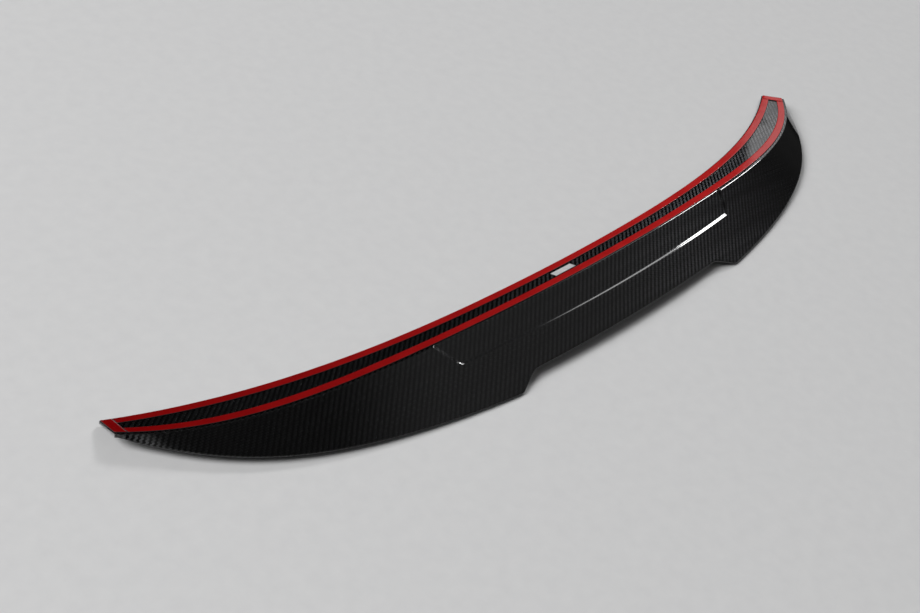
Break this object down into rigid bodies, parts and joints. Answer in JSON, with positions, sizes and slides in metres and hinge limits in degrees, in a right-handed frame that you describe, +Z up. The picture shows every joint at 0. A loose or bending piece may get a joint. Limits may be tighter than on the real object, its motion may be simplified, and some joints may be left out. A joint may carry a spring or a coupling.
{
  "type": "car rear spoiler",
  "caption": "Bowed boot-lid rear spoiler in glossy carbon twill, lying upside down, with a taped bonding flange, a pocketed rear face and a stepped trailing lip.",
  "frame": {"origin": "bottom centre of the bounding box, on the floor under the middle of the span", "axes": "+X along the span, +Y towards the front of the car, +Z up as it lies, with the bonding flange on top"},
  "size_m": [1.201, 0.2152, 0.0416],
  "materials": {
    "carbon": "twill carbon laminate under a gloss clear coat",
    "foam_tape": "matt dark acrylic foam",
    "red_liner": "satin red release film",
    "label_film": "blank white sticker"
  },
  "bodies": {
    "root": {"carbon_body": "carbon", "front_tape": "foam_tape", "rear_tape": "foam_tape", "left_end_tape": "foam_tape", "right_end_tape": "foam_tape", "front_liner": "red_liner", "rear_liner": "red_liner", "left_end_liner": "red_liner", "right_end_liner": "red_liner", "label": "label_film"}
  },
  "joints": []
}
